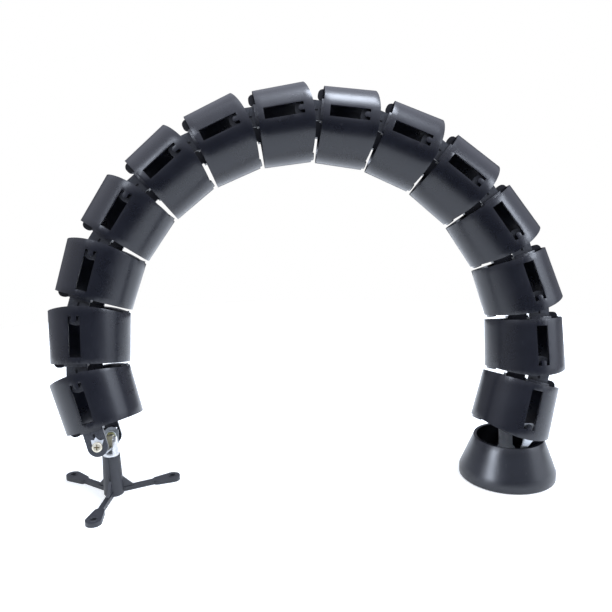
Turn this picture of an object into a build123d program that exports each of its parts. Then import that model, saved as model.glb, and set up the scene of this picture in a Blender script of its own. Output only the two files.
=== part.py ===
from build123d import *
import os
from math import cos, radians, sin, sqrt, tan

os.makedirs("parts", exist_ok=True)

# Cable spine: a chain of tapered ring vertebrae that stands as an arch between
# a three-legged mount and a weighted conical foot.
# All sizes in mm, +Z up, the floor is z = 0, the origin is the centre of the mount.

# Vertebra, in its own frame: x outward, y near side, z forward along the chain.
ring_count = 14
ring_length = 43.4
forward_radius = 35.0
rear_step = 1.2
rear_radius = forward_radius - rear_step
ring_taper = rear_step / ring_length
ring_wall = 2.7
forward_slant = 0.05
forward_bow = 5.8
rear_bow = 0.8
beyond = 3 * forward_radius

# Pose of the arch: it leans back from upright, and turns by the same angle at every hinge.
arch_lean = radians(12.5)
first_lean = radians(16.05)
arch_turn = radians(211.38)
bend_angle = arch_turn / (ring_count - 1)

# Hinges: moulded pegs forward, holes in the two necks that reach back.
hinge_offset = 5.0
peg_setback = 1.8
peg_forward = ring_length - peg_setback
joint_gap = 0.297
closing_at_inner_side = (forward_radius + hinge_offset) * bend_angle + forward_radius * tan(forward_slant)
hinge_behind = peg_setback + joint_gap + closing_at_inner_side
pad_depth = 4.0
pad_face = forward_radius - ring_wall - pad_depth
pad_half_width = 8.0
pad_behind_peg = 4.5
pad_before_peg = 5.0
cheek_gap = 0.3
neck_outer = pad_face - cheek_gap
neck_thickness = 2.6
neck_inner = neck_outer - neck_thickness
neck_half_width = 8.6
neck_root = 5.5
peg_radius = 3.0
peg_fit = 0.05
neck_hole_radius = peg_radius + peg_fit
peg_overhang = 0.5

# Details of the necks: a shallow pocket, and a crown of relief lobes round the hole.
pocket_width = 1.7
pocket_length = 3.8
pocket_depth = 1.2
pocket_behind = 6.0
crown_radius = 5.4
crown_start = radians(-52)
crown_end = radians(37)
lobe_base = 1.5
lobe_tip = 0.6
lobes = ((34.0, 2.5), (-6.0, 1.6), (-49.0, 0.2))

# Collars under the necks, and the window with its snap tongue on the near and the far side.
collar_half_width = 10.0
collar_behind = 1.5
collar_forward = 6.2
collar_inset = 1.2
slot_start = collar_forward + 0.1
slot_end = ring_length - 2.5
slot_width = 10.2
tongue_width = 4.3
tongue_length = 4.0

# Stop fin at the outer side of the rear rim, and short lip at the inner side of the forward rim.
fin_thickness = 4.0
fin_root = 0.7
fin_outer = rear_radius - ring_wall + fin_root
fin_inner = fin_outer - 10.3
fin_behind = 4.5
fin_forward = 9.0
fin_corner = 4.6
lip_outer_inset = 1.4
lip_start = ring_length - 7.4
lip_length = 8.2
lip_half_width = 12.0

# Place of the chain over the mount.
mount_to_chain = 3.5
chain_height = 65.6
tilt_below = 16.5

# Three-legged mount.
leg_angles = (144.3, 24.3, 264.3)
leg_hole_circle = 54.0
leg_hole_radius = 2.3
leg_thickness = 4.0
arm_width = 4.6
paddle_tip_radius = 6.8
paddle_heel_radius = 4.6
paddle_heel = leg_hole_circle - 14.0
column_foot_radius = 8.8
column_top_radius = 7.7
gusset_height = 15.0
gusset_reach = 18.0
gusset_thickness = 3.0
bore_floor = 11.8
stem_radius = 4.0
stem_fit = 0.06
stem_end_gap = 0.6
crease_radius = 1.0

# Yoke in the necks of the first vertebra, with its pivot block and its screws.
sheet = 2.0
yoke_outer = neck_inner - 0.2
yoke_half_width = 6.5
yoke_top = 8.0
washer_radius = 4.4
washer_thickness = 0.9
web_top_below = washer_radius + 0.8
web_thickness = 1.7
waist_half_length = 9.5
tilt_pin_radius = 2.0
tilt_fit = 0.05
pin_seat_fit = 0.02
pivot_half_width = 2.6
pivot_half_depth = 4.3
pivot_top = 5.0
screw_thread_radius = 2.0
screw_head_radius = 4.3
screw_head_height = 2.7
screw_head_round = 1.2
screw_seat_gap = 0.25
shoulder_fit = 0.02
shoulder_gap = 0.05
recess_length = 4.6
recess_width = 1.1
recess_depth = 1.2
nut_across_flats = 7.0
nut_thickness = 3.0
thread_gap = 0.1
thread_end = 1.0

# Swivel fork between the column and the yoke.
collar_gap = 0.1
fork_foot_radius = 7.2
fork_top_radius = 5.7
shoulder_below_pin = 3.49
fork_slot_half = pivot_half_width + 0.2
fork_slot_clearance = 1.4
fork_base = 2.9
fork_depth = 4.2

# Weighted foot.
foot_behind_hinge = 2.32
foot_beyond_hinge = 8.39
foot_below_hinge = 14.24
foot_band = 7.0
mouth_room = 3.5
foot_mouth_radius = neck_outer + mouth_room
foot_flare = 12.1
foot_radius = foot_mouth_radius + foot_flare
foot_wall = 2.6
foot_ground_gap = 0.8
pad_height = 2.6
pad_fit = 0.2
pad_radius = foot_radius - foot_wall - pad_fit
weight_seat_gap = 0.1
weight_height = 9.0
weight_fit = 0.65
deck_gap = 0.3
deck_bottom = pad_height + weight_seat_gap + weight_height + deck_gap
deck_thickness = 2.2

# Bright bracket in the foot.
ear_middle = neck_outer - sheet / 2
ear_above = 5.0
ear_below = 8.0
ear_half_width = 6.5
near_ear_left = 5.0
near_ear_right = 7.6
ear_waist_shift = 3.2
ear_waist_half = 2.8
knee_room = 4.3
knee_below_rim = 1.5
knee_to_foot = 3.1
strap_half_width = 10.0
strap_seat_gap = 0.02
strap_screw_inset = 5.4
strap_screw_radius = 3.6
strap_screw_round = 1.0
strap_recess_length = 4.0
strap_head_height = 2.2

# Places that follow from the sizes above.
arch_up = Vector(0, sin(arch_lean), cos(arch_lean))
near_side = Vector(0, -cos(arch_lean), sin(arch_lean))
across = Vector(1, 0, 0)
chain_start = Vector(-mount_to_chain, tilt_below * sin(arch_lean), chain_height)
arch_plane = Plane(origin=chain_start, x_dir=across, z_dir=near_side)


def forward_of(index):
    lean = first_lean - bend_angle * index
    return across * -sin(lean) + arch_up * cos(lean)


def outward_of(index):
    lean = first_lean - bend_angle * index
    return across * -cos(lean) - arch_up * sin(lean)


ring_origins = [chain_start]
for index in range(1, ring_count):
    peg = ring_origins[-1] + outward_of(index - 1) * hinge_offset + forward_of(index - 1) * peg_forward
    origin = peg - outward_of(index) * hinge_offset + forward_of(index) * hinge_behind
    ring_origins.append(origin)

first_hinge = chain_start + outward_of(0) * hinge_offset - forward_of(0) * hinge_behind
last_hinge = ring_origins[-1] + outward_of(ring_count - 1) * hinge_offset
last_hinge = last_hinge + forward_of(ring_count - 1) * peg_forward
tilt_centre = chain_start - arch_up * tilt_below + across * mount_to_chain
hinge_x = (first_hinge - chain_start).dot(across)
hinge_s = (first_hinge - chain_start).dot(arch_up)
web_top_s = hinge_s - web_top_below
web_low_z = chain_height + (web_top_s - web_thickness) * cos(arch_lean) - waist_half_length * sin(arch_lean)
fork_slot_floor = web_low_z - fork_slot_clearance
fork_shoulder = tilt_centre.Z - shoulder_below_pin
column_height = fork_slot_floor - fork_base
foot_x = last_hinge.X - foot_behind_hinge
foot_y = last_hinge.Y + foot_beyond_hinge
foot_height = last_hinge.Z - foot_below_hinge


def radius_at(z):
    return rear_radius + ring_taper * z


# inner pads that carry the hinge pegs, trimmed to the shell
with BuildPart() as pads:
    with BuildSketch(Plane.XZ):
        with Locations((hinge_offset, peg_forward + (pad_before_peg - pad_behind_peg) / 2)):
            Rectangle(2 * pad_half_width, pad_before_peg + pad_behind_peg)
    extrude(amount=beyond, both=True)
    with BuildSketch(Plane.XZ):
        with Locations((0, peg_forward)):
            Rectangle(beyond, beyond)
    extrude(amount=pad_face, both=True, mode=Mode.SUBTRACT)
    with Locations((0, 0, peg_forward)):
        Cylinder(forward_radius - ring_wall / 2, beyond, mode=Mode.INTERSECT)

with BuildPart() as collars:
    with BuildSketch(Plane.XZ):
        with Locations((hinge_offset, (collar_forward - collar_behind) / 2)):
            Rectangle(2 * collar_half_width, collar_forward + collar_behind)
    extrude(amount=beyond, both=True)
    with BuildSketch(Plane.XZ):
        Rectangle(beyond, beyond)
    extrude(amount=neck_inner, both=True, mode=Mode.SUBTRACT)
    Cylinder(rear_radius - collar_inset, beyond, mode=Mode.INTERSECT)

with BuildPart() as inner_lip:
    Cylinder(forward_radius - lip_outer_inset, lip_length, align=(Align.CENTER, Align.CENTER, Align.MIN))
    Cylinder(forward_radius - ring_wall, beyond, mode=Mode.SUBTRACT)
    with Locations((-forward_radius, 0, 0)):
        Box(forward_radius, 2 * lip_half_width, beyond, mode=Mode.INTERSECT)

with BuildPart() as necks:
    with BuildSketch(Plane.XZ):
        with Locations((hinge_offset, (neck_root - hinge_behind) / 2)):
            Rectangle(2 * neck_half_width, neck_root + hinge_behind)
        with Locations((hinge_offset, -hinge_behind)):
            Circle(neck_half_width)
    extrude(amount=neck_outer, both=True)
    with BuildSketch(Plane.XZ):
        Rectangle(beyond, beyond)
    extrude(amount=neck_inner, both=True, mode=Mode.SUBTRACT)

shell_start = -2 * rear_bow
shell_end = ring_length + 2 * forward_bow
with BuildPart() as vertebra:
    with BuildSketch(Plane.XZ):
        Polygon(
            (radius_at(shell_start), shell_start),
            (radius_at(shell_end), shell_end),
            (radius_at(shell_end) - ring_wall, shell_end),
            (radius_at(shell_start) - ring_wall, shell_start),
            align=None,
        )
    revolve(axis=Axis.Z)
    slanted = Plane(
        origin=(0, 0, ring_length), x_dir=(0, 1, 0), z_dir=(cos(forward_slant), 0, sin(forward_slant))
    )
    with BuildSketch(slanted):
        with BuildLine():
            ThreePointArc((-forward_radius, forward_bow), (0, 0), (forward_radius, forward_bow))
            Polyline(
                (forward_radius, forward_bow),
                (1.2 * forward_radius, 1.4 * forward_bow),
                (1.2 * forward_radius, beyond),
                (-1.2 * forward_radius, beyond),
                (-1.2 * forward_radius, 1.4 * forward_bow),
                (-forward_radius, forward_bow),
            )
        make_face()
    extrude(amount=beyond, both=True, mode=Mode.SUBTRACT)
    with BuildSketch(Plane.YZ):
        with BuildLine():
            ThreePointArc((-forward_radius, rear_bow), (0, 0), (forward_radius, rear_bow))
            Polyline(
                (forward_radius, rear_bow),
                (1.2 * forward_radius, rear_bow),
                (1.2 * forward_radius, -beyond),
                (-1.2 * forward_radius, -beyond),
                (-1.2 * forward_radius, rear_bow),
                (-forward_radius, rear_bow),
            )
        make_face()
    extrude(amount=beyond, both=True, mode=Mode.SUBTRACT)
    add(pads.part)
    with BuildSketch(Plane.XZ):
        with Locations((hinge_offset, (slot_start + slot_end) / 2)):
            Rectangle(slot_width, slot_end - slot_start)
        with Locations((hinge_offset, slot_end - tongue_length / 2 + tongue_width / 4)):
            Rectangle(tongue_width, tongue_length - tongue_width / 2, mode=Mode.SUBTRACT)
        with Locations((hinge_offset, slot_end - tongue_length + tongue_width / 2)):
            Circle(tongue_width / 2, mode=Mode.SUBTRACT)
    extrude(amount=beyond, both=True, mode=Mode.SUBTRACT)
    add(collars.part)
    with Locations((0, 0, lip_start)):
        add(inner_lip.part)
    add(necks.part)
    for side in (-1, 1):
        peg_start = (hinge_offset, side * (neck_inner - peg_overhang), peg_forward)
        with Locations(Plane(origin=peg_start, z_dir=(0, side, 0))):
            Cylinder(
                peg_radius,
                pad_face - neck_inner + peg_overhang + 1,
                align=(Align.CENTER, Align.CENTER, Align.MIN),
            )
        with BuildSketch(Plane(origin=(0, side * neck_outer, 0), x_dir=(1, 0, 0), z_dir=(0, -1, 0))):
            with Locations((hinge_offset, -pocket_behind)):
                Rectangle(pocket_width, pocket_length)
        extrude(amount=pocket_depth * side, mode=Mode.SUBTRACT)
    hinge_plane = Plane(origin=(hinge_offset, 0, -hinge_behind), x_dir=(1, 0, 0), z_dir=(0, -1, 0))
    with Locations(hinge_plane):
        Cylinder(neck_hole_radius, beyond, mode=Mode.SUBTRACT)
    with BuildSketch(hinge_plane):
        with BuildLine():
            start = (crown_radius * sin(crown_start), crown_radius * cos(crown_start))
            end = (crown_radius * sin(crown_end), crown_radius * cos(crown_end))
            ThreePointArc(start, (0, crown_radius), end)
            Polyline(end, (0, 0), start)
        make_face()
        for angle, inset in lobes:
            reach = neck_half_width - inset
            with Locations(Rotation(0, 0, 90 - angle)):
                Polygon((0, -lobe_base), (reach, -lobe_tip), (reach, lobe_tip), (0, lobe_base), align=None)
    extrude(amount=beyond, both=True, mode=Mode.SUBTRACT)
    with BuildSketch(Plane.XZ):
        with Locations(((fin_inner + fin_outer) / 2, (fin_forward - fin_behind) / 2)):
            RectangleRounded(fin_outer - fin_inner, fin_forward + fin_behind, fin_corner)
    extrude(amount=fin_thickness / 2, both=True)

for index in range(ring_count):
    place = Plane(origin=ring_origins[index], x_dir=outward_of(index), z_dir=forward_of(index))
    with BuildPart() as ring:
        with Locations(place):
            add(vertebra.part)
    name = f"vertebra_{index + 1:02d}"
    ring.part.label = name
    export_step(ring.part, f"parts/{name}.step")

# three-legged mount: one moulding with a bored column, gussets and paddle feet
with BuildPart() as tripod_mount:
    Cone(
        column_foot_radius,
        column_top_radius,
        column_height,
        align=(Align.CENTER, Align.CENTER, Align.MIN),
    )
    for angle in leg_angles:
        along = Plane.XY.rotated((0, 0, angle))
        with BuildSketch(along):
            with Locations((paddle_heel / 2, 0)):
                Rectangle(paddle_heel, arm_width)
        extrude(amount=leg_thickness)
        with BuildSketch(along):
            with Locations((leg_hole_circle, 0)):
                Circle(paddle_tip_radius)
            with Locations((paddle_heel, 0)):
                Circle(paddle_heel_radius)
            make_hull()
        extrude(amount=leg_thickness)
        upright = Plane(along.origin, x_dir=along.x_dir, z_dir=-along.y_dir)
        with BuildSketch(upright):
            Polygon(
                (0, 0),
                (gusset_reach, 0),
                (gusset_reach, leg_thickness),
                (column_top_radius, gusset_height),
                (0, gusset_height),
                align=None,
            )
        extrude(amount=gusset_thickness / 2, both=True)
    for angle in leg_angles:
        turn = radians(angle)
        with Locations((leg_hole_circle * cos(turn), leg_hole_circle * sin(turn), 0)):
            Cylinder(leg_hole_radius, 4 * leg_thickness, mode=Mode.SUBTRACT)
        crease_circle = column_top_radius + crease_radius * 0.7
        with Locations((crease_circle * cos(turn), crease_circle * sin(turn), gusset_height)):
            Cylinder(
                crease_radius,
                column_height,
                align=(Align.CENTER, Align.CENTER, Align.MIN),
                mode=Mode.SUBTRACT,
            )
    with Locations((0, 0, bore_floor)):
        Cylinder(
            stem_radius + stem_fit,
            column_height,
            align=(Align.CENTER, Align.CENTER, Align.MIN),
            mode=Mode.SUBTRACT,
        )
tripod_mount.part.label = "tripod_mount"
export_step(tripod_mount.part, "parts/tripod_mount.step")

# swivel: stem that turns in the column, conical collar and a two-pronged fork
with BuildPart() as swivel_fork:
    with Locations((0, 0, column_height + collar_gap)):
        Cone(
            fork_foot_radius,
            fork_top_radius,
            fork_shoulder - column_height - collar_gap,
            align=(Align.CENTER, Align.CENTER, Align.MIN),
        )
    with BuildSketch(Plane.YZ):
        with Locations((0, tilt_centre.Z)):
            Circle(fork_depth)
        with Locations((0, (fork_slot_floor + tilt_centre.Z) / 2)):
            Rectangle(2 * fork_depth, tilt_centre.Z - fork_slot_floor)
    extrude(amount=fork_top_radius, both=True)
    with Locations((0, 0, fork_slot_floor)):
        Box(
            2 * fork_slot_half,
            beyond,
            beyond,
            align=(Align.CENTER, Align.CENTER, Align.MIN),
            mode=Mode.SUBTRACT,
        )
    with Locations((0, 0, bore_floor + stem_end_gap)):
        Cylinder(stem_radius, column_height - bore_floor, align=(Align.CENTER, Align.CENTER, Align.MIN))
    with Locations(Plane(origin=(0, 0, tilt_centre.Z), z_dir=(1, 0, 0))):
        Cylinder(tilt_pin_radius + pin_seat_fit, beyond, mode=Mode.SUBTRACT)
swivel_fork.part.label = "swivel_fork"
export_step(swivel_fork.part, "parts/swivel_fork.step")

with BuildPart() as tilt_pin:
    with Locations(Plane(origin=(0, 0, tilt_centre.Z), z_dir=(1, 0, 0))):
        Cylinder(tilt_pin_radius, 2 * fork_top_radius)
tilt_pin.part.label = "tilt_pin"
export_step(tilt_pin.part, "parts/tilt_pin.step")

# yoke: bright sheet strap whose ears stand inside the necks of the first vertebra
column_x = mount_to_chain
with BuildPart() as yoke:
    with BuildSketch(arch_plane):
        with Locations((hinge_x, hinge_s)):
            Rectangle(2 * yoke_half_width, 2 * web_top_below)
        with Locations((hinge_x, hinge_s + yoke_top - yoke_half_width)):
            Circle(yoke_half_width)
        with Locations((hinge_x, web_top_s - web_thickness / 2)):
            Rectangle(2 * yoke_half_width, web_thickness)
    extrude(amount=yoke_outer, both=True)
    with BuildSketch(arch_plane):
        with Locations((hinge_x, web_top_s)):
            Rectangle(beyond, beyond, align=(Align.CENTER, Align.MIN))
    extrude(amount=yoke_outer - sheet, both=True, mode=Mode.SUBTRACT)
    with BuildSketch(arch_plane):
        with Locations((column_x - pivot_half_width, web_top_s)):
            Rectangle(beyond, 4 * web_thickness, align=(Align.MAX, Align.CENTER))
        with Locations((column_x + pivot_half_width, web_top_s)):
            Rectangle(beyond, 4 * web_thickness, align=(Align.MIN, Align.CENTER))
    extrude(amount=waist_half_length, both=True, mode=Mode.SUBTRACT)
    with Locations(Plane(origin=first_hinge, x_dir=across, z_dir=near_side)):
        Cylinder(screw_thread_radius + thread_gap, beyond, mode=Mode.SUBTRACT)
yoke.part.label = "yoke"
export_step(yoke.part, "parts/yoke.step")

# zinc pivot block on the web of the yoke, between the prongs of the fork
tilt_s = -tilt_below
with BuildPart() as pivot_block:
    with BuildSketch(arch_plane):
        with Locations((column_x, (web_top_s + tilt_s + pivot_top) / 2)):
            Rectangle(2 * pivot_half_width, tilt_s + pivot_top - web_top_s)
    extrude(amount=pivot_half_depth, both=True)
    with Locations(Plane(origin=tilt_centre, z_dir=(1, 0, 0))):
        Cylinder(tilt_pin_radius + tilt_fit, beyond, mode=Mode.SUBTRACT)
pivot_block.part.label = "pivot_block"
export_step(pivot_block.part, "parts/pivot_block.step")

# shoulder screws, washers and nuts that hinge the first vertebra on the yoke
for name, side in (("near", 1), ("far", -1)):
    outward = near_side * side
    axis_plane = Plane(origin=first_hinge, x_dir=across, z_dir=outward)
    with BuildPart() as neck_screw:
        with BuildSketch(axis_plane.offset(neck_outer + screw_seat_gap)):
            Circle(screw_head_radius)
        extrude(amount=screw_head_height)
        rims = neck_screw.edges().group_by(SortBy.LENGTH)[-1]
        fillet(rims.sort_by(lambda edge: edge.center().dot(outward))[-1], screw_head_round)
        with BuildSketch(axis_plane.offset(neck_outer + screw_seat_gap + screw_head_height - recess_depth)):
            Rectangle(recess_length, recess_width)
            Rectangle(recess_width, recess_length)
        extrude(amount=recess_depth + 1, mode=Mode.SUBTRACT)
        with BuildSketch(axis_plane.offset(yoke_outer + shoulder_gap)):
            Circle(peg_radius - shoulder_fit)
        extrude(amount=neck_outer + screw_seat_gap - yoke_outer)
        thread_start = yoke_outer - sheet - washer_thickness - nut_thickness - thread_end
        with BuildSketch(axis_plane.offset(thread_start)):
            Circle(screw_thread_radius)
        extrude(amount=nut_thickness + washer_thickness + sheet + 2 * thread_end)
    neck_screw.part.label = f"neck_screw_{name}"
    export_step(neck_screw.part, f"parts/neck_screw_{name}.step")

    with BuildPart() as neck_washer:
        with BuildSketch(axis_plane.offset(yoke_outer - sheet - washer_thickness)):
            Circle(washer_radius)
            Circle(screw_thread_radius + thread_gap, mode=Mode.SUBTRACT)
        extrude(amount=washer_thickness)
    neck_washer.part.label = f"neck_washer_{name}"
    export_step(neck_washer.part, f"parts/neck_washer_{name}.step")

    with BuildPart() as neck_nut:
        with BuildSketch(axis_plane.offset(yoke_outer - sheet - washer_thickness - nut_thickness)):
            RegularPolygon(nut_across_flats / sqrt(3), 6)
            Circle(screw_thread_radius + thread_gap / 2, mode=Mode.SUBTRACT)
        extrude(amount=nut_thickness)
    neck_nut.part.label = f"neck_nut_{name}"
    export_step(neck_nut.part, f"parts/neck_nut_{name}.step")

# weighted foot: conical shell with an open mouth, iron disc, rubber pad
foot_centre = Vector(foot_x, foot_y, 0)
foot_plane = Plane(origin=foot_centre, x_dir=(1, 0, 0), z_dir=(0, 0, 1))
foot_slope = foot_flare / (foot_height - foot_band)


def foot_radius_at(z):
    return foot_radius - foot_slope * max(0, z - foot_band)


with BuildPart() as foot_shell:
    with BuildSketch(Plane.XZ):
        Polygon(
            (foot_radius, foot_ground_gap),
            (foot_radius, foot_band),
            (foot_mouth_radius, foot_height),
            (foot_mouth_radius - foot_wall, foot_height),
            (foot_radius_at(deck_bottom + deck_thickness) - foot_wall, deck_bottom + deck_thickness),
            (0, deck_bottom + deck_thickness),
            (0, deck_bottom),
            (foot_radius_at(deck_bottom) - foot_wall, deck_bottom),
            (foot_radius - foot_wall, foot_band),
            (foot_radius - foot_wall, foot_ground_gap),
            align=None,
        )
    revolve(axis=Axis.Z)
with BuildPart() as foot_cone:
    with Locations(foot_plane):
        add(foot_shell.part)
foot_cone.part.label = "foot_cone"
export_step(foot_cone.part, "parts/foot_cone.step")

with BuildPart() as foot_weight:
    with BuildSketch(foot_plane.offset(pad_height + weight_seat_gap)):
        Circle(foot_radius_at(deck_bottom) - foot_wall - weight_fit)
    extrude(amount=weight_height)
foot_weight.part.label = "foot_weight"
export_step(foot_weight.part, "parts/foot_weight.step")

with BuildPart() as foot_pad:
    with BuildSketch(foot_plane):
        Circle(pad_radius)
    extrude(amount=pad_height)
foot_pad.part.label = "foot_pad"
export_step(foot_pad.part, "parts/foot_pad.step")

# bright sheet bracket: a strap screwed to the deck, its two ears take the last pegs
strap_z = deck_bottom + deck_thickness + sheet / 2 + strap_seat_gap
near_peg = last_hinge + near_side * ear_middle
far_peg = last_hinge - near_side * ear_middle
near_top = near_peg + arch_up * ear_above
near_bend = near_peg - arch_up * ear_below
near_knee = Vector(0, foot_y - foot_mouth_radius + foot_wall + knee_room, foot_height - knee_below_rim)
near_foot = Vector(0, near_knee.Y + knee_to_foot, strap_z)
far_top = far_peg + arch_up * ear_above
far_foot = far_peg - arch_up * ((far_peg.Z - strap_z) / cos(arch_lean))
bracket_x = last_hinge.X
strap_plane = Plane(origin=(bracket_x, 0, 0), x_dir=(0, 1, 0), z_dir=(1, 0, 0))
outline_plane = Plane(origin=(bracket_x, foot_y, 0), x_dir=(1, 0, 0), z_dir=(0, -1, 0))
waist_left = ear_waist_shift - ear_waist_half
waist_right = ear_waist_shift + ear_waist_half

with BuildPart() as near_ear:
    with BuildSketch(strap_plane):
        with BuildLine():
            Polyline(
                (near_top.Y, near_top.Z),
                (near_bend.Y, near_bend.Z),
                (near_knee.Y, near_knee.Z),
                (near_foot.Y, strap_z),
                (far_foot.Y, strap_z),
            )
        trace(line_width=sheet)
    extrude(amount=strap_half_width, both=True)
    with BuildSketch(outline_plane):
        Polygon(
            (-strap_half_width, strap_z - sheet),
            (strap_half_width, strap_z - sheet),
            (strap_half_width, strap_z + 1.5 * sheet),
            (waist_right, strap_z + 4 * sheet),
            (waist_right, foot_height + sheet),
            (near_ear_right, near_peg.Z - 0.7 * ear_below),
            (near_ear_right, near_peg.Z + 0.6 * ear_above),
            (near_ear_right - 2, near_peg.Z + 1.3 * ear_above),
            (-near_ear_left + 2, near_peg.Z + 1.3 * ear_above),
            (-near_ear_left, near_peg.Z + 0.6 * ear_above),
            (-near_ear_left, near_peg.Z - 0.31 * ear_below),
            (waist_left - 1.8, near_peg.Z - 0.97 * ear_below),
            (waist_left, foot_height + sheet),
            (waist_left, strap_z + 4 * sheet),
            (-strap_half_width, strap_z + 1.5 * sheet),
            align=None,
        )
    extrude(amount=beyond, both=True, mode=Mode.INTERSECT)

with BuildPart() as far_ear:
    with BuildSketch(strap_plane):
        with BuildLine():
            Polyline((far_top.Y, far_top.Z), (far_foot.Y, far_foot.Z), (near_foot.Y, strap_z))
        trace(line_width=sheet)
    extrude(amount=strap_half_width, both=True)
    with BuildSketch(outline_plane):
        Polygon(
            (-strap_half_width, strap_z - sheet),
            (strap_half_width, strap_z - sheet),
            (strap_half_width, strap_z + 1.5 * sheet),
            (ear_half_width, strap_z + 4 * sheet),
            (ear_half_width, far_peg.Z + 0.6 * ear_above),
            (ear_half_width - 2, far_peg.Z + 1.3 * ear_above),
            (-ear_half_width + 2, far_peg.Z + 1.3 * ear_above),
            (-ear_half_width, far_peg.Z + 0.6 * ear_above),
            (-ear_half_width, strap_z + 4 * sheet),
            (-strap_half_width, strap_z + 1.5 * sheet),
            align=None,
        )
    extrude(amount=beyond, both=True, mode=Mode.INTERSECT)

with BuildPart() as foot_bracket:
    add(near_ear.part)
    add(far_ear.part)
    with Locations(Plane(origin=last_hinge, x_dir=across, z_dir=near_side)):
        Cylinder(neck_hole_radius, beyond, mode=Mode.SUBTRACT)
foot_bracket.part.label = "foot_bracket"
export_step(foot_bracket.part, "parts/foot_bracket.step")

# two screws that hold the strap on the deck
for name, screw_y in (("front", near_foot.Y + strap_screw_inset), ("back", far_foot.Y - strap_screw_inset)):
    seat = Plane(origin=(bracket_x, screw_y, strap_z + sheet / 2), x_dir=(1, 0, 0), z_dir=(0, 0, 1))
    with BuildPart() as strap_screw:
        with BuildSketch(seat):
            Circle(strap_screw_radius)
        extrude(amount=strap_head_height)
        fillet(strap_screw.edges().group_by(Axis.Z)[-1], strap_screw_round)
        with BuildSketch(seat.offset(strap_head_height - recess_depth)):
            Rectangle(strap_recess_length, recess_width)
            Rectangle(recess_width, strap_recess_length)
        extrude(amount=recess_depth + 1, mode=Mode.SUBTRACT)
    strap_screw.part.label = f"strap_screw_{name}"
    export_step(strap_screw.part, f"parts/strap_screw_{name}.step")

print("first hinge", first_hinge)
print("tilt centre", tilt_centre)
print("last hinge", last_hinge)
print("foot centre", foot_centre, "foot height", foot_height, "column height", column_height)
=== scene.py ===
import math

import bmesh
import bpy
from mathutils import Matrix, Vector


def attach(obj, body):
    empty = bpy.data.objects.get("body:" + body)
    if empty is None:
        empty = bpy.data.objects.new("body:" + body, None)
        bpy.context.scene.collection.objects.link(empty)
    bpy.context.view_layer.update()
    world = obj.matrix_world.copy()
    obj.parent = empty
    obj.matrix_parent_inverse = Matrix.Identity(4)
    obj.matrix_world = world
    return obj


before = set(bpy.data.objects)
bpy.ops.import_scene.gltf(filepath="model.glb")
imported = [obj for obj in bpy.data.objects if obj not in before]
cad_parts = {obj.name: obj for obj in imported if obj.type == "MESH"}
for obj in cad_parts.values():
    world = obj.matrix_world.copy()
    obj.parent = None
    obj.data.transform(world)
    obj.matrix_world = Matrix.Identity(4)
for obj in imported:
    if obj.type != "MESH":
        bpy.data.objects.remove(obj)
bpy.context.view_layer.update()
scene = bpy.context.scene

# Sizes of the CAD model that the details and the materials need, in metres.
RING_COUNT = 14
RING_LENGTH = 0.0434
REAR_RADIUS = 0.0338
FRONT_RADIUS = 0.035
HINGE_OFFSET = 0.005  # outward from a ring's axis
PEG_FORWARD = 0.0416  # from a ring's rear end to its pegs
HINGE_BEHIND = 0.0152  # from a ring's rear end back to the hinge in its necks
NECK_OUTER = 0.028  # from the arch's middle plane to the outside of a neck
MOUNT_TO_CHAIN = 0.0035
CHAIN_HEIGHT = 0.0656
TILT_BELOW = 0.0165

# Pose of the arch: each ring leans by the same angle more than the one before.
ARCH_LEAN = math.radians(12.5)
FIRST_LEAN = math.radians(16.05)
BEND = math.radians(16.26)
UP = Vector((0, math.sin(ARCH_LEAN), math.cos(ARCH_LEAN)))
NEAR = Vector((0, -math.cos(ARCH_LEAN), math.sin(ARCH_LEAN)))
ACROSS = Vector((1, 0, 0))
CHAIN_START = Vector((-MOUNT_TO_CHAIN, TILT_BELOW * math.sin(ARCH_LEAN), CHAIN_HEIGHT))


def forward_of(index):
    lean = FIRST_LEAN - BEND * index
    return ACROSS * -math.sin(lean) + UP * math.cos(lean)


def outward_of(index):
    lean = FIRST_LEAN - BEND * index
    return ACROSS * -math.cos(lean) - UP * math.sin(lean)


def matrix_from(origin, x, y, z):
    matrix = Matrix.Identity(4)
    for row in range(3):
        matrix[row][0], matrix[row][1], matrix[row][2], matrix[row][3] = x[row], y[row], z[row], origin[row]
    return matrix


def ring_frames():
    """Where each ring's rear end is: x points out of the arch, y to the viewer, z along the ring."""
    origins = [CHAIN_START]
    for i in range(1, RING_COUNT):
        peg = origins[-1] + outward_of(i - 1) * HINGE_OFFSET + forward_of(i - 1) * PEG_FORWARD
        origins.append(peg - outward_of(i) * HINGE_OFFSET + forward_of(i) * HINGE_BEHIND)
    return [matrix_from(origin, outward_of(i), NEAR, forward_of(i)) for i, origin in enumerate(origins)]


RING_FRAMES = ring_frames()
FIRST_HINGE = CHAIN_START + outward_of(0) * HINGE_OFFSET - forward_of(0) * HINGE_BEHIND


class Nodes:
    """Adds nodes to one node tree and links them."""

    def __init__(self, tree):
        self.tree = tree

    def add(self, kind, inputs=None, **settings):
        node = self.tree.nodes.new(kind)
        for key, value in settings.items():
            setattr(node, key, value)
        for key, value in (inputs or {}).items():
            self.put(node.inputs[key], value)
        return node

    def put(self, socket, value):
        if isinstance(value, bpy.types.NodeSocket):
            self.tree.links.new(value, socket)
        else:
            socket.default_value = value

    def span(self, value, low, high, new_low, new_high):
        node = self.add(
            "ShaderNodeMapRange",
            {"Value": value, "From Min": low, "From Max": high, "To Min": new_low, "To Max": new_high},
        )
        return node.outputs[0]

    def math(self, operation, a, b=0.0):
        return self.add("ShaderNodeMath", {0: a, 1: b}, operation=operation).outputs[0]

    def blend(self, factor, first, second, how="MIX"):
        node = self.add("ShaderNodeMix", data_type="RGBA", blend_type=how)
        self.put(node.inputs[0], factor)
        self.put(node.inputs[6], first)
        self.put(node.inputs[7], second)
        return node.outputs[2]


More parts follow.
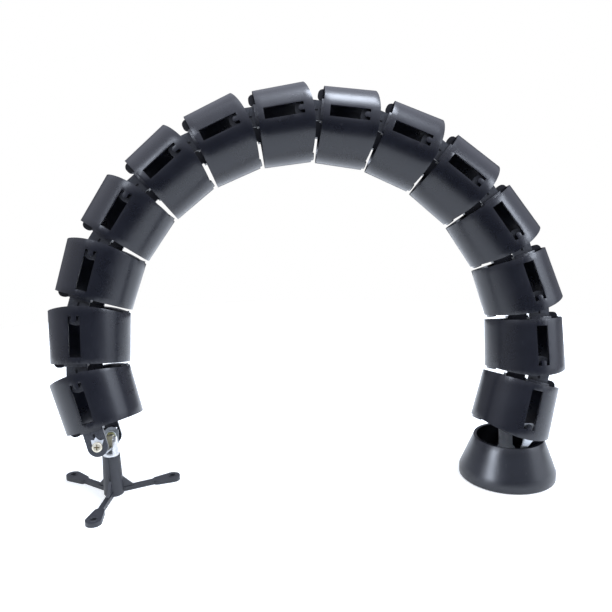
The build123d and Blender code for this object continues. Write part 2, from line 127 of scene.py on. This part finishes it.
class Finish(Nodes):
    """A Principled material under construction, patterned in the object's own coordinates."""

    def __init__(self, name):
        self.material = bpy.data.materials.new(name)
        self.material.use_nodes = True
        super().__init__(self.material.node_tree)
        self.shader = self.tree.nodes["Principled BSDF"]
        self.coords = self.add("ShaderNodeTexCoord").outputs["Object"]

    def noise(self, scale, detail=4.0, rough=0.55, stretch=None):
        vector = self.coords
        if stretch:
            vector = self.add("ShaderNodeMapping", {"Vector": vector, "Scale": stretch}).outputs[0]
        node = self.add(
            "ShaderNodeTexNoise", {"Vector": vector, "Scale": scale, "Detail": detail, "Roughness": rough}
        )
        return node.outputs["Fac"]

    def distance_along(self, origin, direction):
        """How far the shaded point lies from origin, along direction."""
        away = self.add("ShaderNodeVectorMath", {0: self.coords, 1: origin}, operation="SUBTRACT").outputs[0]
        along = self.add("ShaderNodeVectorMath", {0: away, 1: direction}, operation="DOT_PRODUCT")
        return along.outputs["Value"]

    def bump(self, height, strength, distance, base=None):
        node = self.add("ShaderNodeBump", {"Height": height, "Strength": strength, "Distance": distance})
        if base is not None:
            self.put(node.inputs["Normal"], base)
        return node.outputs[0]

    def done(self, **sockets):
        for key, value in sockets.items():
            self.put(self.shader.inputs[key.replace("_", " ").title().replace("Ior", "IOR")], value)
        return self.material


# What every moulding shares: cloudy tone, fine skin and small scuffs.
SCUFF_ROUGHER = 0.08
SKIN_STRENGTH = 0.10
SKIN_DEPTH = 0.00012
PLASTIC_SPECULAR = 0.5


def plastic_clouds(n):
    return n.noise(38.0, detail=5.0, rough=0.6)


def plastic_scuffs(n):
    return n.span(n.noise(420.0, detail=6.0, rough=0.7, stretch=(1.0, 0.35, 0.35)), 0.62, 0.74, 0.0, 1.0)


def plastic_tone(n, cloud, dark, light):
    return n.blend(n.span(cloud, 0.3, 0.7, 0.0, 1.0), dark, light)


def plastic_roughness(n, cloud, scuffs, low, high):
    return n.math("ADD", n.span(cloud, 0.3, 0.7, low, high), n.math("MULTIPLY", scuffs, SCUFF_ROUGHER))


def plastic_skin(n, cloud, grain=1.0):
    skin = n.bump(n.noise(2600.0, detail=3.0, rough=0.6), SKIN_STRENGTH * grain, SKIN_DEPTH)
    return n.bump(cloud, 0.08, 0.0006, skin)


SCUFF_TONE = (0.16, 0.165, 0.18, 1)
SCUFF_SHARE = 0.16


def moulded_plastic(name, dark, light, rough_low, rough_high, grain):
    n = Finish(name)
    cloud = plastic_clouds(n)
    scuffs = plastic_scuffs(n)
    tone = plastic_tone(n, cloud, dark, light)
    return n.done(
        base_color=n.blend(n.math("MULTIPLY", scuffs, SCUFF_SHARE), tone, SCUFF_TONE),
        roughness=plastic_roughness(n, cloud, scuffs, rough_low, rough_high),
        normal=plastic_skin(n, cloud, grain),
        specular_ior_level=PLASTIC_SPECULAR,
    )


LINK_DARK = (0.0023, 0.0031, 0.0072, 1)
LINK_LIGHT = (0.0043, 0.0053, 0.0106, 1)
LINK_ROUGHNESS = (0.25, 0.33)
LINK_SCUFF_TONE = (0.12, 0.125, 0.14, 1)
LINK_SCUFF_SHARE = 0.10
NECK_DARK = (0.022, 0.024, 0.032, 1)
NECK_LIGHT = (0.050, 0.054, 0.066, 1)
NECK_ROUGHER = 0.22
NECK_STARTS = (-0.0012, -0.0022)  # along the ring: the necks lie behind its rear end
NECK_FACES = (0.0268, 0.0274)  # beside the arch's middle plane: only the outsides of the necks
TOOL_LINE_STEP = 0.00055
TOOL_LINE_STRENGTH = 0.35
TOOL_LINE_DEPTH = 0.00006


def link_plastic(name, ring):
    """The rings' satin plastic. The flat faces of the necks behind the ring are coarser and paler."""
    n = Finish(name)
    cloud = plastic_clouds(n)
    scuffs = plastic_scuffs(n)
    forward = n.distance_along(ring.translation, ring.col[2].to_3d())
    beside = n.math("ABSOLUTE", n.distance_along(ring.translation, ring.col[1].to_3d()))
    behind = n.span(forward, *NECK_STARTS, 0.0, 1.0)
    on_neck = n.math("MULTIPLY", behind, n.span(beside, *NECK_FACES, 0.0, 1.0))
    tool_lines = n.span(n.math("PINGPONG", forward, TOOL_LINE_STEP), 0.0, TOOL_LINE_STEP, 0.0, 1.0)
    tone = plastic_tone(n, cloud, LINK_DARK, LINK_LIGHT)
    tone = n.blend(n.math("MULTIPLY", scuffs, LINK_SCUFF_SHARE), tone, LINK_SCUFF_TONE)
    grit = n.span(n.noise(900.0, detail=4.0, rough=0.65), 0.35, 0.65, 0.0, 1.0)
    rough = plastic_roughness(n, cloud, scuffs, *LINK_ROUGHNESS)
    grooves = n.math("MULTIPLY", tool_lines, on_neck)
    return n.done(
        base_color=n.blend(on_neck, tone, n.blend(grit, NECK_DARK, NECK_LIGHT)),
        roughness=n.math("ADD", rough, n.math("MULTIPLY", on_neck, NECK_ROUGHER)),
        normal=n.bump(grooves, TOOL_LINE_STRENGTH, TOOL_LINE_DEPTH, plastic_skin(n, cloud)),
        specular_ior_level=PLASTIC_SPECULAR,
    )


STAIN_SHARE = 0.35
STAIN_DARKER = (0.55, 0.52, 0.48)
STAIN_ROUGHER = 0.12


def bright_metal(name, dark, light, roughness, grain_scale, stretch, metallic):
    """Drawn or plated metal with cloudy plating, small stains and a grain along one direction."""
    n = Finish(name)
    drawn = n.noise(grain_scale, detail=4.0, rough=0.6, stretch=stretch)
    cloud = n.noise(160.0, detail=4.0, rough=0.6)
    stains = n.span(n.noise(900.0, detail=5.0, rough=0.7), 0.6, 0.72, 0.0, 1.0)
    stain_tone = tuple(channel * less for channel, less in zip(dark, STAIN_DARKER)) + (1,)
    tone = n.blend(n.span(cloud, 0.35, 0.65, 0.0, 1.0), dark, light)
    rough = n.span(drawn, 0.3, 0.7, *roughness)
    return n.done(
        base_color=n.blend(n.math("MULTIPLY", stains, STAIN_SHARE), tone, stain_tone),
        roughness=n.math("ADD", rough, n.math("MULTIPLY", stains, STAIN_ROUGHER)),
        metallic=metallic,
        normal=n.bump(drawn, 0.12, 0.0001),
    )


def cast_iron(name):
    n = Finish(name)
    cloud = n.noise(90.0, detail=4.0, rough=0.6)
    return n.done(
        base_color=n.blend(cloud, (0.07, 0.068, 0.066, 1), (0.15, 0.14, 0.13, 1)),
        roughness=n.span(cloud, 0.3, 0.7, 0.55, 0.75),
        metallic=0.8,
        normal=n.bump(n.noise(900.0, detail=5.0, rough=0.7), 0.5, 0.0004),
    )


def rubber(name):
    n = Finish(name)
    grit = n.noise(1500.0, detail=4.0, rough=0.7)
    cloud = n.noise(60.0, detail=4.0, rough=0.6)
    return n.done(
        base_color=n.blend(cloud, (0.018, 0.018, 0.019, 1), (0.035, 0.035, 0.036, 1)),
        roughness=n.span(grit, 0.3, 0.7, 0.7, 0.9),
        normal=n.bump(grit, 0.3, 0.0003),
        specular_ior_level=0.3,
    )


# Darker and lighter tone, lowest and highest roughness, scale and stretch of the grain, metallic.
METALS = {
    "bright_zinc": ((0.53, 0.54, 0.55, 1), (0.74, 0.745, 0.755, 1), (0.26, 0.38), 300.0, (1, 1, 6), 0.8),
    "zinc_sheet": ((0.74, 0.78, 0.84, 1), (0.92, 0.95, 0.99, 1), (0.30, 0.42), 260.0, (6, 1, 1), 0.55),
    "zinc_yoke": ((0.24, 0.26, 0.28, 1), (0.40, 0.42, 0.45, 1), (0.28, 0.40), 260.0, (6, 1, 1), 0.55),
    "plain_steel": ((0.5, 0.5, 0.51, 1), (0.68, 0.68, 0.69, 1), (0.22, 0.36), 400.0, (8, 1, 1), 1.0),
    "yellow_zinc": ((0.60, 0.54, 0.41, 1), (0.80, 0.76, 0.64, 1), (0.30, 0.42), 500.0, (1, 1, 4), 0.7),
    "olive_zinc": ((0.30, 0.29, 0.12, 1), (0.44, 0.43, 0.22, 1), (0.28, 0.40), 500.0, (1, 1, 4), 0.8),
    "cast_zinc_block": ((0.36, 0.33, 0.24, 1), (0.52, 0.49, 0.38, 1), (0.38, 0.50), 300.0, (1, 1, 3), 0.7),
    # The dark brown tone on the next line is painted shade: it colours the plate at the floor of each
    # screw's cross recess.
    "recess_painted_shade": ((0.12, 0.095, 0.05, 1), (0.22, 0.18, 0.10, 1), (0.40, 0.52), 900.0, (1, 1, 3), 0.7),
}
METAL = {name: bright_metal(name, *look) for name, look in METALS.items()}
LINK_PLASTIC = [link_plastic(f"link_plastic_{i + 1:02d}", ring) for i, ring in enumerate(RING_FRAMES)]
MOUNT_PLASTIC = moulded_plastic(
    "mount_plastic", (0.014, 0.0156, 0.021, 1), (0.026, 0.0282, 0.036, 1), 0.38, 0.48, grain=1.6
)
FOOT_PLASTIC = moulded_plastic(
    "foot_plastic", (0.0050, 0.0058, 0.0090, 1), (0.0088, 0.0098, 0.0145, 1), 0.28, 0.36, grain=1.4
)

FINISHES = {
    "tripod_mount": MOUNT_PLASTIC,
    "swivel_fork": METAL["bright_zinc"],
    "tilt_pin": METAL["plain_steel"],
    "yoke": METAL["zinc_yoke"],
    "pivot_block": METAL["cast_zinc_block"],
    "neck_screw": METAL["yellow_zinc"],
    "neck_nut": METAL["olive_zinc"],
    "neck_washer": METAL["zinc_sheet"],
    "foot_cone": FOOT_PLASTIC,
    "foot_weight": cast_iron("raw_iron"),
    "foot_pad": rubber("floor_rubber"),
    "foot_bracket": METAL["zinc_sheet"],
    "strap_screw": METAL["yellow_zinc"],
}
MOULDINGS = ("vertebra", "foot_cone", "tripod")
MOULDED_EDGE = 0.0004
METAL_EDGE = 0.00025
WELD_DISTANCE = 0.000005
EDGE_SEGMENTS = 3
EDGE_ANGLE = math.radians(32)


def finish_of(name):
    if name.startswith("vertebra"):
        return LINK_PLASTIC[int(name[-2:]) - 1]
    return next(finish for start, finish in FINISHES.items() if name.startswith(start))


for name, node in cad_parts.items():
    node.data.materials.clear()
    node.data.materials.append(finish_of(name))
    weld = node.modifiers.new("weld", "WELD")
    weld.merge_threshold = WELD_DISTANCE
    soft = node.modifiers.new("edges", "BEVEL")
    soft.width = MOULDED_EDGE if name.startswith(MOULDINGS) else METAL_EDGE
    soft.segments = EDGE_SEGMENTS
    soft.limit_method = "ANGLE"
    soft.angle_limit = EDGE_ANGLE
    soft.harden_normals = True
    soft.use_clamp_overlap = True


def closed_piece(name, bm, body, finish):
    bmesh.ops.recalc_face_normals(bm, faces=bm.faces)
    mesh = bpy.data.meshes.new(name)
    bm.to_mesh(mesh)
    bm.free()
    mesh.materials.append(finish)
    piece = bpy.data.objects.new(name, mesh)
    scene.collection.objects.link(piece)
    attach(piece, body)


def add_bar(bm, ring, lower, upper):
    """A closed strip between two lists of points of the same length, each a pair (bottom, top)."""
    rows = []
    for (low_a, high_a), (low_b, high_b) in zip(lower, upper):
        rows.append([bm.verts.new(ring @ Vector(p)) for p in (low_a, high_a, high_b, low_b)])
    for first, second in zip(rows, rows[1:]):
        for k in range(4):
            bm.faces.new((first[k], first[(k + 1) % 4], second[(k + 1) % 4], second[k]))
    bm.faces.new(rows[0])
    bm.faces.new(rows[-1])


def shell_radius(z):
    return REAR_RADIUS + (FRONT_RADIUS - REAR_RADIUS) * z / RING_LENGTH


TONGUE_HALF_WIDTH = 0.00215
TONGUE_CENTRE = 0.0409 - 0.004 + TONGUE_HALF_WIDTH  # end of the window, less the tongue's length
GUARD_START = -175
GUARD_SWEEP = 150
GUARD_STEPS = 16
GUARD_WIDTH = 0.0009
GUARD_OVERLAP = 0.0003
GUARD_BOTTOM = 0.0022
GUARD_TOP = 0.0001


def tongue_guard(bm, ring, side):
    """Crescent round the end of the snap tongue, a little below the outside of the shell."""
    lower, upper = [], []
    for k in range(GUARD_STEPS + 1):
        turn = math.radians(GUARD_START + GUARD_SWEEP * k / GUARD_STEPS)
        width = GUARD_WIDTH * math.sin(math.pi * (k + 1.5) / (GUARD_STEPS + 3)) ** 0.6
        for reach, strip in ((TONGUE_HALF_WIDTH - GUARD_OVERLAP, lower), (TONGUE_HALF_WIDTH + width, upper)):
            x = HINGE_OFFSET - reach * math.cos(turn)
            z = TONGUE_CENTRE + reach * math.sin(turn)
            outside = math.sqrt(shell_radius(z) ** 2 - x * x)
            strip.append(((x, side * (outside - GUARD_BOTTOM), z), (x, side * (outside - GUARD_TOP), z)))
    add_bar(bm, ring, lower, upper)


MARK_STEPS = 12
MARK_SINK = 0.0003
# Turn from outward towards the side, half the sweep, both ends along the ring, height at the middle.
GATE_MARK = (math.radians(47), math.radians(4.2), 0.0212, 0.0217, 0.00016)
WITNESS_LINE = (math.radians(151), math.radians(2.2), 0.0300, 0.0304, 0.00012)


def shell_mark(bm, ring, side, centre_turn, half_sweep, z_low, z_high, rise):
    """A thin raised mark that follows the outside of the shell and fades out at both ends."""
    lower, upper = [], []
    for k in range(MARK_STEPS + 1):
        offset = 2 * k / MARK_STEPS - 1
        turn = side * centre_turn + half_sweep * offset
        height = rise * (1 - abs(offset) ** 4)
        for z, strip in ((z_low, lower), (z_high, upper)):
            base = shell_radius(z)
            strip.append(tuple(
                (r * math.cos(turn), r * math.sin(turn), z) for r in (base - MARK_SINK, base + height)
            ))
    add_bar(bm, ring, lower, upper)


POCKET_EDGE_ENDS = (-0.00845, -0.0081)
POCKET_HALF_WIDTH = 0.0012
POCKET_EDGE_RISE = 0.00012


def pocket_edge(bm, ring, side):
    """Light lower edge of the blind pocket in the neck."""
    outside = side * NECK_OUTER
    rise = side * POCKET_EDGE_RISE
    strips = [
        [((HINGE_OFFSET + x, outside - 2 * rise, z), (HINGE_OFFSET + x, outside + rise, z))
         for x in (-POCKET_HALF_WIDTH, POCKET_HALF_WIDTH)]
        for z in POCKET_EDGE_ENDS
    ]
    add_bar(bm, ring, *strips)


for index, ring in enumerate(RING_FRAMES):
    bm = bmesh.new()
    for side in (1, -1):
        tongue_guard(bm, ring, side)
        shell_mark(bm, ring, side, *GATE_MARK)
        shell_mark(bm, ring, side, *WITNESS_LINE)
        pocket_edge(bm, ring, side)
    number = f"{index + 1:02d}"
    closed_piece(f"ring_trim_{number}", bm, f"link_{number}", LINK_PLASTIC[index])

# Corners of the star washer: clockwise turn from upright in degrees, and reach in millimetres.
STAR = (
    (-62, 5.4), (-52, 6.4), (-41, 7.9), (-24, 6.3), (-10, 8.7), (4, 6.4), (22, 5.9), (33, 7.0), (40, 8.1),
    (47, 6.7), (62, 4.6), (80, 3.9), (110, 3.8), (145, 3.8), (180, 3.8), (215, 3.8), (250, 3.8), (280, 3.9),
    (296, 5.0),
)
STAR_FACES = (NECK_OUTER + 0.00003, NECK_OUTER + 0.00022)
HEAD_SEAT = NECK_OUTER + 0.00025
HEAD_HEIGHT = 0.0027
RECESS_DEPTH = 0.0012
RECESS_FLOOR = HEAD_SEAT + HEAD_HEIGHT - RECESS_DEPTH
RECESS_FACES = (RECESS_FLOOR - 0.0002, RECESS_FLOOR + 0.00005)
RECESS_REACH = 0.0023
RECESS_HALF_WIDTH = 0.00055


def star_corners():
    corners = []
    for turn, reach in STAR:
        angle = math.radians(turn)
        corners.append((0.001 * reach * math.sin(angle), 0.001 * reach * math.cos(angle)))
    return corners


def cross_corners(far, near):
    """A plus sign, clockwise from its upper left corner."""
    return [
        (-near, far), (near, far), (near, near), (far, near), (far, -near), (near, -near),
        (near, -far), (-near, -far), (-near, -near), (-far, -near), (-far, near), (-near, near),
    ]


def flat_piece(name, corners, side, faces, finish):
    """A closed plate square to the first hinge; corners are in metres, right and up in the arch's plane."""
    bm = bmesh.new()
    rings = [
        [bm.verts.new(FIRST_HINGE + ACROSS * x + UP * y + NEAR * (side * face)) for x, y in corners]
        for face in faces
    ]
    for k in range(len(corners)):
        following = (k + 1) % len(corners)
        bm.faces.new((rings[0][k], rings[0][following], rings[1][following], rings[1][k]))
    bm.faces.new(rings[0])
    bm.faces.new(rings[1])
    closed_piece(name, bm, "yoke", METAL[finish])


recess_corners = cross_corners(RECESS_REACH, RECESS_HALF_WIDTH)
for label, side in (("near", 1), ("far", -1)):
    flat_piece(f"star_washer_{label}", star_corners(), side, STAR_FACES, "zinc_sheet")
    # A dark cross plate at the floor of each screw's cross recess: painted shade in the recess.
    flat_piece(f"screw_recess_shade_{label}", recess_corners, side, RECESS_FACES, "recess_painted_shade")

# Raised rims round the mount's screw holes; a rim's section is in distance from the hole's axis and height.
LEG_TURNS = (144.3, 24.3, 264.3)
HOLE_CIRCLE = 0.054
HOLE_RADIUS = 0.0023
LEG_TOP = 0.004
RIM_STEPS = 48
RIM_SECTION = (
    (HOLE_RADIUS + 0.0003, LEG_TOP - 0.0004),
    (HOLE_RADIUS + 0.0003, LEG_TOP + 0.0001),
    (HOLE_RADIUS + 0.0006, LEG_TOP + 0.0005),
    (HOLE_RADIUS + 0.0012, LEG_TOP + 0.0005),
    (HOLE_RADIUS + 0.0016, LEG_TOP + 0.0001),
    (HOLE_RADIUS + 0.0016, LEG_TOP - 0.0004),
)


def hole_rim(bm, leg_turn):
    angle = math.radians(leg_turn)
    centre = Vector((HOLE_CIRCLE * math.cos(angle), HOLE_CIRCLE * math.sin(angle), 0))
    loops = []
    for k in range(RIM_STEPS):
        spin = 2 * math.pi * k / RIM_STEPS
        away = Vector((math.cos(spin), math.sin(spin), 0))
        loops.append([bm.verts.new(centre + away * r + Vector((0, 0, z))) for r, z in RIM_SECTION])
    for k, loop in enumerate(loops):
        following = loops[(k + 1) % len(loops)]
        for j in range(len(RIM_SECTION)):
            m = (j + 1) % len(RIM_SECTION)
            bm.faces.new((loop[j], loop[m], following[m], following[j]))


bm = bmesh.new()
for leg_turn in LEG_TURNS:
    hole_rim(bm, leg_turn)
closed_piece("hole_rims", bm, "tripod", MOUNT_PLASTIC)

FLOOR_CENTRE = (0.18, 0, 0)
FLOOR_RADIUS = 0.8


def pale_floor():
    """A round white floor that glows a little, so no shadow shows on it."""
    mesh = bpy.data.meshes.new("floor")
    bm = bmesh.new()
    bmesh.ops.create_circle(
        bm, cap_ends=True, segments=96, radius=FLOOR_RADIUS, matrix=Matrix.Translation(FLOOR_CENTRE)
    )
    bm.to_mesh(mesh)
    bm.free()
    n = Finish("pale_floor")
    mesh.materials.append(n.done(
        base_color=n.blend(n.noise(9.0), (0.88, 0.915, 0.96, 1), (0.90, 0.935, 0.98, 1)),
        roughness=0.9,
        specular_ior_level=0.0,
        emission_color=(0.97, 0.985, 1.0, 1),
        emission_strength=0.56,
    ))
    floor = bpy.data.objects.new("floor", mesh)
    scene.collection.objects.link(floor)


pale_floor()

SKY_DIFFUSE = 0.4
ROOM_TINT = (0.92, 0.96, 1.12)
ROOM_BELOW = (0.20, 0.21, 0.25, 1)
ROOM_ABOVE = (1.5, 1.56, 1.8, 1)
ROOM_GREYS = ((0.52, 0.10), (0.62, 0.20), (0.70, 0.55), (0.78, 0.9), (0.90, 1.2))  # from straight down to up
SIDE_GLOW = (0.95, 0.98, 1.12, 1)
SIDE_GLOW_STARTS = 0.45
SIDE_GLOW_SHARE = 0.5


def studio_world():
    """A white sky for the camera and for soft light; gloss mirrors a dim room, paler aside and overhead."""
    world = bpy.data.worlds.new("studio")
    world.use_nodes = True
    n = Nodes(world.node_tree)
    direction = n.add("ShaderNodeTexCoord").outputs["Generated"]
    axes = n.add("ShaderNodeSeparateXYZ", {0: direction})
    ramp = n.add("ShaderNodeValToRGB", {0: n.span(axes.outputs["Z"], -1.0, 1.0, 0.0, 1.0)})
    stops = ramp.color_ramp.elements
    stops[0].position, stops[0].color = 0.0, ROOM_BELOW
    stops[1].position, stops[1].color = 1.0, ROOM_ABOVE
    for place, grey in ROOM_GREYS:
        stops.new(place).color = tuple(grey * tint for tint in ROOM_TINT) + (1,)
    aside = n.math("ABSOLUTE", axes.outputs["X"])
    glow = n.span(aside, SIDE_GLOW_STARTS, 1.0, 0.0, SIDE_GLOW_SHARE)
    room = n.add("ShaderNodeBackground", {"Color": n.blend(glow, ramp.outputs[0], SIDE_GLOW, "ADD")})
    path = n.add("ShaderNodeLightPath")
    sky = n.tree.nodes["Background"]
    n.put(sky.inputs["Color"], (1.0, 1.0, 1.0, 1))
    n.put(sky.inputs["Strength"], n.span(path.outputs["Is Camera Ray"], 0.0, 1.0, SKY_DIFFUSE, 1.0))
    chooser = n.add(
        "ShaderNodeMixShader", {0: path.outputs["Is Glossy Ray"], 1: sky.outputs[0], 2: room.outputs[0]}
    )
    n.put(n.tree.nodes["World Output"].inputs["Surface"], chooser.outputs[0])
    scene.world = world


studio_world()
scene.view_settings.view_transform = "Standard"

LIGHT_COLOUR = (0.80, 0.87, 1.0)
CENTRE = (0.18, 0.03, 0.18)
FOOT = (0.36, 0.0, 0.02)
# Place, point aimed at, width and height in metres, watts, spread in degrees.
SOFTBOXES = {
    "top_light": ((0.53, 0.16, 2.24), CENTRE, 0.72, 0.72, 34, 180),
    "overhead_light": ((0.35, 0.1, 2.3), CENTRE, 1.9, 1.9, 12, 180),
    "right_light": ((1.69, -0.74, 1.24), CENTRE, 0.55, 0.75, 17, 180),
    "right_wall": ((2.02, -0.64, 0.6), CENTRE, 1.3, 1.0, 9, 180),
    "left_light": ((-0.99, -0.885, 1.52), CENTRE, 0.5, 0.55, 9, 180),
    "foot_light": ((-0.89, -0.72, 0.43), FOOT, 0.62, 0.6, 0.8, 30),
}


def softbox(name, place, aim, width, height, power, spread):
    light = bpy.data.lights.new(name, "AREA")
    light.shape = "RECTANGLE"
    light.size, light.size_y = width, height
    light.energy = power
    light.color = LIGHT_COLOUR
    light.spread = math.radians(spread)
    lamp = bpy.data.objects.new(name, light)
    lamp.location = place
    lamp.rotation_mode = "QUATERNION"
    lamp.rotation_quaternion = (Vector(aim) - Vector(place)).to_track_quat("-Z", "Y")
    lamp.visible_camera = False
    scene.collection.objects.link(lamp)
    return lamp


lamps = {name: softbox(name, *setup) for name, setup in SOFTBOXES.items()}
foot_only = bpy.data.collections.new("lit_by_foot_light")
foot_only.objects.link(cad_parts["foot_cone"])
lamps["foot_light"].light_linking.receiver_collection = foot_only

CAMERA_PLACE = (0.144616, -0.585782, 0.297664)
CAMERA_RIGHT = (0.998429, -0.054374, -0.013521)
CAMERA_UP = (0.024997, 0.216302, 0.976006)
CAMERA_BACK = (-0.050145, -0.974811, 0.217322)
camera_data = bpy.data.cameras.new("camera")
camera_data.sensor_width = 36.0
camera_data.lens = 41.176
camera = bpy.data.objects.new("camera", camera_data)
camera.matrix_world = matrix_from(CAMERA_PLACE, CAMERA_RIGHT, CAMERA_UP, CAMERA_BACK)
scene.collection.objects.link(camera)
scene.camera = camera
